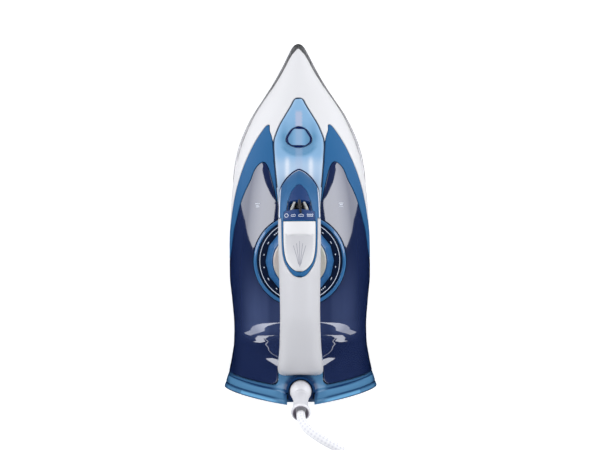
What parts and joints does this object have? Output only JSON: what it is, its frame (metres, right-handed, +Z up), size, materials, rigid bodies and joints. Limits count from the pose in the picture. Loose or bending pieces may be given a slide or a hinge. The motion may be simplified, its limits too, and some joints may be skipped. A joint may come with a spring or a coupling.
{
  "type": "clothes iron",
  "caption": "Steam iron with a pointed soleplate, clear water tank, looped handle, temperature dial, steam lever and trigger, and a coiled mains cord.",
  "frame": {"origin": "middle of the iron's footprint, at the underside of the soleplate, cord left out", "axes": "+X across the iron, +Y to the nose, +Z up from the ironing surface"},
  "size_m": [0.1757, 0.4554, 0.155],
  "materials": {
    "soleplate_metal": "brushed",
    "cast_aluminium": "as cast",
    "steel": "bright",
    "brass": "polished",
    "ceramic": "matt",
    "shield_plastic": "matt",
    "white_plastic": "satin gloss",
    "blue_plastic": "gloss",
    "navy_clear": "clear tinted gloss",
    "pale_blue_clear": "clear tinted gloss",
    "heel_blue_clear": "clear tinted gloss",
    "pearl_plastic": "pearl",
    "black_gloss": "piano gloss",
    "rubber": "matt",
    "cord_braid": "braided textile"
  },
  "bodies": {
    "housing": {"soleplate": "soleplate_metal", "heater_casting": "cast_aluminium", "steam_chamber_lid": "steel", "heating_element": "steel", "thermostat": "ceramic", "thermal_fuse": "ceramic", "drip_valve_seat": "brass", "insulating_skirt": "shield_plastic", "front_cover": "white_plastic", "side_trim_right": "blue_plastic", "side_trim_left": "blue_plastic", "nose_cover": "pale_blue_clear", "water_tank": "navy_clear", "tank_base": "navy_clear", "spindle_sleeve": "navy_clear", "dial_collar": "pale_blue_clear", "handle_upper_shell": "white_plastic", "handle_lower_shell": "blue_plastic", "handle_bezel": "blue_plastic", "pump_cylinder": "shield_plastic", "trigger_spring": "steel", "selector_bed": "black_gloss", "heel_cover": "heel_blue_clear", "heel_screw_right": "steel", "heel_screw_left": "steel", "cord_ball_seat": "blue_plastic", "terminal_block": "ceramic", "live_wire": "rubber", "neutral_wire": "rubber", "casting_screw_front": "steel", "casting_screw_rear": "steel", "cord": "cord_braid", "cord_coil": "cord_braid", "coil_tie": "rubber", "cord_tail": "cord_braid", "plug_body": "white_plastic", "plug_pin_right": "brass", "plug_pin_left": "brass"},
    "temperature_dial": {"temperature_dial": "blue_plastic", "dial_cap": "pearl_plastic", "dial_spindle": "steel"},
    "steam_selector": {"steam_selector": "black_gloss"},
    "steam_valve": {"steam_valve_rod": "steel"},
    "steam_trigger": {"steam_trigger": "white_plastic", "pump_piston": "white_plastic"},
    "filler_cap": {"filler_cap": "pale_blue_clear", "filler_seal": "rubber"},
    "cord_swivel": {"cord_ball": "white_plastic", "cord_guard": "white_plastic"}
  },
  "joints": [
    {"name": "temperature_dial_turn", "type": "hinge", "parent": "housing", "child": "temperature_dial", "pos_m": [0, -0.039, 0.05], "axis": [0, 0, 1], "range_deg": [-135, 135]},
    {"name": "steam_selector_swing", "type": "hinge", "parent": "housing", "child": "steam_selector", "pos_m": [0, 0.00667, 0.10951], "axis": [0, 0.682, 0.7314], "range_deg": [-31, 20]},
    {"name": "steam_valve_lift", "type": "slide", "parent": "housing", "child": "steam_valve", "axis": [0, 0, 1], "range_m": [-0.00215, 0.00139]},
    {"name": "steam_trigger_push", "type": "slide", "parent": "housing", "child": "steam_trigger", "axis": [0, -0.4226, -0.9063], "range_m": [0, 0.003], "stiffness_N_per_m": 800, "deforming": ["trigger_spring"]},
    {"name": "filler_cap_lift", "type": "hinge", "parent": "housing", "child": "filler_cap", "pos_m": [0, 0.0709, 0.0387], "axis": [-1, 0, 0], "range_deg": [0, 95]},
    {"name": "cord_swivel_tilt", "type": "hinge", "parent": "housing", "child": "cord_swivel", "pos_m": [0, -0.135, 0.1025], "axis": [1, 0, 0], "range_deg": [-12, 35], "deforming": ["cord"]}
  ],
  "couplings": [
    {"joint": "steam_selector_swing", "follows": "steam_valve_lift", "rad_per_m": 250}
  ]
}
